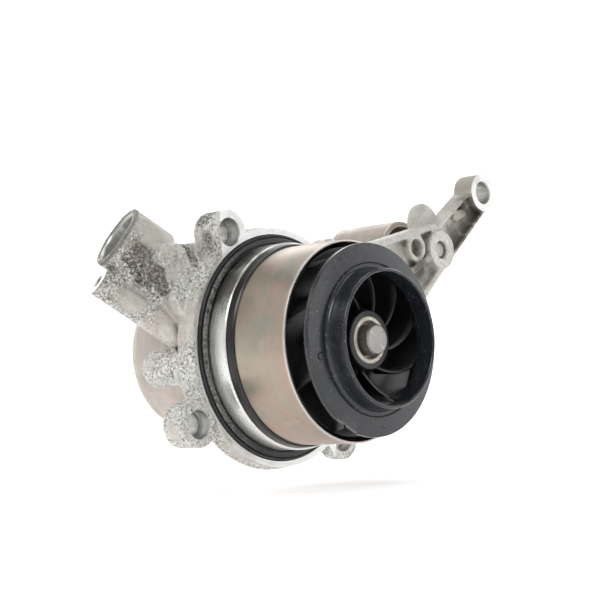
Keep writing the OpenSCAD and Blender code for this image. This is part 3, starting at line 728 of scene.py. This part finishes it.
def vane_grid():
    """Points and faces of the swept vanes, which lean a little between the disc and the shroud."""
    verts, faces = [], []
    columns, rows = 22, 8
    # Heights of a vane's top and foot as (radius, y)
    top = [(10.5, -44.5), (16, -46.5), (24, -49.4), (27, -48.9), (30, -48.2), (36.9, -47.76), (40, -47.7)]
    foot = [(10.5, -44.2), (12.3, -43.9), (14, -41.1), (17.5, -39.3), (23, -38.2), (40, -38.2)]

    def height(table, r):
        for (r0, y0), (r1, y1) in zip(table, table[1:]):
            if r <= r1:
                return y0 + (y1 - y0) * max(0, (r - r0)) / (r1 - r0)
        return table[-1][1]

    for number in range(VANE_COUNT):
        start = VANE_START + 360 / VANE_COUNT * number
        first = len(verts)
        for side in (1, -1):
            for i in range(columns + 1):
                t = i / columns
                r = VANE_ROOT + VANE_SPAN * t
                thick = 0.35 + 0.6 * math.sin(math.pi * min(1, 0.12 + 0.8 * t)) ** 0.6
                low, high = height(foot, r) + 0.15, height(top, r)
                for j in range(rows + 1):
                    h = j / rows
                    angle = math.radians(start + VANE_SWEEP * t + VANE_LEAN * (1 - h) * t)
                    slope = math.atan2(r * math.radians(VANE_SWEEP), VANE_SPAN) + angle
                    thin = thick * (1 - 0.55 * max(0, h - 0.86) / 0.14) if r < RIM_R else thick
                    x = r * math.cos(angle) - side * thin * math.sin(slope)
                    z = r * math.sin(angle) + side * thin * math.cos(slope)
                    verts.append((x, low + (high - low) * h, z))
        n = rows + 1
        other = first + (columns + 1) * n

        def at(side, i, j):
            return (first if side > 0 else other) + i * n + j

        for i in range(columns):
            for j in range(rows):
                for side in (1, -1):
                    here, on = at(side, i, j), at(side, i + 1, j)
                    faces.append([here, on, on + 1, here + 1])
            faces.append([at(1, i, rows), at(1, i + 1, rows), at(-1, i + 1, rows), at(-1, i, rows)])
            faces.append([at(1, i, 0), at(-1, i, 0), at(-1, i + 1, 0), at(1, i + 1, 0)])
        for j in range(rows):
            faces.append([at(1, 0, j), at(1, 0, j + 1), at(-1, 0, j + 1), at(-1, 0, j)])
            tip, far_tip = at(1, columns, j), at(-1, columns, j)
            faces.append([tip, far_tip, far_tip + 1, tip + 1])
    return verts, faces


piece(add_mesh("vane_set", *vane_grid(), [VANES], sharp=40), "rotor", "impeller_plastic", "impeller")

piece(
    lathe(
        "impeller_disc",
        [
            (9.36, -47.7), (11.2, -47.7, 0.3), (11.7, -47.1, 0.4), (12.3, -44, 1), (14, -41.2, 2),
            (17.5, -39.4, 2), (23, -38.3, 2), (37, -38.3, 0.4), (37, -36.5, 0.4), (23, -36.5),
            (23, -31.9, 0.3), (15, -31.9, 0.3), (15, -36.5), (12.5, -36.5, 0.3), (12.5, -28.5, 0.4),
            (8.36, -28.5), (6, -30.3), (6, -33), (9.36, -33),
        ],
        [VANES],
    ),
    "rotor", "impeller_plastic",
)


def shroud():
    """The front shroud with its flat balance cut, and three small moulded marks on its face."""
    made = lathe(
        "shroud_ring",
        [
            (37.4, -47.75, 0.25), (37.4, -49.75, 0.45), (30.6, -50.6, 0.4), (29.8, -50.7, 0.3),
            (29.4, -50.15, 0.3), (28.2, -50.15, 0.4), (27.5, -50.9, 0.7), (27.0, -53, 1), (26.9, -57.9, 0.3),
            (26.4, -58.5, 0.35), (25.8, -58.5, 0.3), (25.4, -58, 0.3), (25.4, -51.4, 1), (26, -49.6, 0.9),
            (27.4, -48.9, 0.6), (30, -48.2, 1),
        ],
        [SHROUD], steps=320, sharp=50,
    )
    balance_angle = 119
    turn = Matrix.Rotation(math.radians(balance_angle), 4, "Y")
    tool = plain_box("cut_balance", (36.6, -55, -6.5), (40, -44, 6.5), turn)
    cut = made.modifiers.new("cut", "BOOLEAN")
    cut.operation = "DIFFERENCE"
    cut.solver = "MANIFOLD"
    cut.object = tool
    apply_modifiers(made)
    bpy.data.objects.remove(tool)
    made.data.set_sharp_from_angle(angle=math.radians(50))
    bm = bmesh.new()
    bm.from_mesh(made.data)
    for angle, far, size in ((-170, 31.9, 1.5), (118.3, 34.8, 0.8), (-86.6, 33.6, 0.8)):
        x, z = polar(angle, far)
        # The shroud's face falls by 0.85 mm over the 6.8 mm from its inner edge
        face_y = -50.6 + (far - 30.6) * 0.85 / 6.8
        inner, foot, top = size - 0.35, face_y + 0.2, face_y - 0.14
        outline = [(size, foot), (size, top), (inner, top), (inner, foot)]
        verts, faces = lathe_parts([Vector(p) for p in outline], (x, z), 20)
        points = [bm.verts.new([v * MM for v in vert]) for vert in verts]
        for face in faces:
            bm.faces.new([points[i] for i in face])
    bm.to_mesh(made.data)
    bm.free()
    return made


piece(shroud(), "rotor", "shroud_plastic", "impeller_shroud")

piece(
    lathe(
        "insert_ring",
        [
            (6, -33), (6, -44.1), (7.25, -44.1), (7.25, -47.5, 0.25), (7.6, -47.9, 0.15), (8.96, -47.9, 0.25),
            (9.36, -47.5), (9.36, -33),
        ],
        [INSERT],
    ),
    "rotor", "insert_metal", "impeller_insert",
)

piece(
    lathe(
        "shaft_bar",
        [
            (0, -51.7), (5.3, -51.7, 0.12), (6, -51.0, 0.3), (6, -28.4), (7.7, -28.4), (7.96, -28),
            (7.96, 56.3, 0.2), (7.3, 57, 0.2), (0, 57),
        ],
        [SHAFT],
    ),
    "rotor", "shaft_steel", "shaft",
)

# ---- Drive ----

piece(
    lathe(
        "pulley_drum",
        [
            (29.5, 22.4), (29.9, 22, 0.2), (31.8, 22, 0.3), (32.2, 22.4, 0.3), (32.2, 51, 0.4),
            (31.9, 53.4, 0.8), (30.8, 55.6, 0.8), (30.2, 56, 0.4), (28.9, 56, 0.3), (28.5, 55.5, 0.3),
            (28.3, 53.6, 0.5), (27.3, 53, 0.6), (14, 53, 0.8), (13, 54, 0.5), (13, 57.2, 0.4),
            (7.96, 57.2), (7.96, 47.5), (13, 47.5, 0.3), (13, 50.2, 0.6), (28.5, 50.2, 0.6),
            (29.5, 49.2, 0.6),
        ],
        [PULLEY], steps=320, sharp=50,
    ),
    "rotor", "pulley_steel", "pulley",
)

piece(
    lathe(
        "idler_drum",
        [
            (13.2, 22.9), (13.5, 22.6, 0.2), (14.8, 22.6, 0.3), (15.6, 23.4, 0.5), (15.6, 56.2, 0.5),
            (14.8, 57, 0.3), (13.5, 57, 0.2), (13.2, 56.7),
        ],
        [IDLER], at=MIDDLE_BOSS,
    ),
    "idler", "idler_steel", "idler_roller",
)


# ---- Stage, camera and lights, in metres ----

FLOOR_Z = -0.056
CENTRE = (0.03, 0.0, 0.0)  # the lights point here


def backdrop():
    """A pale floor that curves up into a far wall on every side."""
    verts, faces = [], []
    # Outline as (radius, height) in metres
    profile = [(0, 0), (1.0, 0), (1.6, 0.02), (2.1, 0.12), (2.5, 0.35), (2.7, 0.7), (2.75, 1.2), (2.75, 2.6)]
    steps = 64
    for i in range(steps):
        angle = 2 * math.pi * i / steps
        verts += [(1000 * r * math.cos(angle), 1000 * r * math.sin(angle), 1000 * z) for r, z in profile]
    n = len(profile)
    for i in range(steps):
        for k in range(n - 1):
            j = (i + 1) % steps
            faces.append([i * n + k, j * n + k, j * n + k + 1, i * n + k + 1])
    p = Paint("pale_paper", Roughness=0.9)
    # It glows on the far side from the photograph's camera, where the photograph is plain white
    x, y, _ = p.split()
    across = p.math("ADD", p.math("MULTIPLY", x, 0.73), p.math("MULTIPLY", y, 0.68))
    p.put(p.shader.inputs["Emission Color"], (1, 1, 1, 1))
    p.put(p.shader.inputs["Emission Strength"], p.step(across, -0.9, 0.9, 0.0, 0.85))
    p.done((0.8, 0.8, 0.8, 1))
    obj = add_mesh("backdrop", verts, faces, [p.material], sharp=80)
    for vertex in obj.data.vertices:
        vertex.co.z += FLOOR_Z
        vertex.co.x += CENTRE[0]
    return obj


backdrop()


def area_light(name, place, size, power):
    """A white soft light at a place, pointed at the object."""
    light = bpy.data.lights.new(name, "AREA")
    light.shape = "RECTANGLE"
    light.size, light.size_y = size
    light.energy = power
    obj = bpy.data.objects.new(name, light)
    obj.location = place
    obj.rotation_euler = (Vector(CENTRE) - Vector(place)).to_track_quat("-Z", "Y").to_euler()
    bpy.context.scene.collection.objects.link(obj)


area_light("key", (-0.75, -0.35, 0.8), (0.5, 0.5), 4.2)
area_light("front", (0.45, -1.1, 0.3), (0.5, 0.9), 1.6)
area_light("top", (0.1, 0.15, 1.1), (0.9, 0.9), 4.5)
area_light("back", (0.5, 1.0, 0.5), (0.7, 0.7), 2.2)

world = bpy.data.worlds.new("studio")
world.use_nodes = True
world.node_tree.nodes["Background"].inputs["Color"].default_value = (1, 1, 1, 1)
world.node_tree.nodes["Background"].inputs["Strength"].default_value = 0.22
bpy.context.scene.world = world
bpy.context.scene.view_settings.view_transform = "Standard"

lens = bpy.data.cameras.new("photo_camera")
lens.lens = 96
lens.sensor_width = 36
lens.clip_start = 0.05
lens.clip_end = 20
camera = bpy.data.objects.new("photo_camera", lens)
right = Vector((0.6825, -0.7286, -0.0574))
up = Vector((0, -0.0785, 0.9969))
ahead = Vector((0.7309, 0.6804, 0.0536))
turn = Matrix((right, up, -ahead)).transposed().to_4x4()
camera.matrix_world = Matrix.Translation((-0.4673, -0.4473, -0.0161)) @ turn
bpy.context.scene.collection.objects.link(camera)
bpy.context.scene.camera = camera
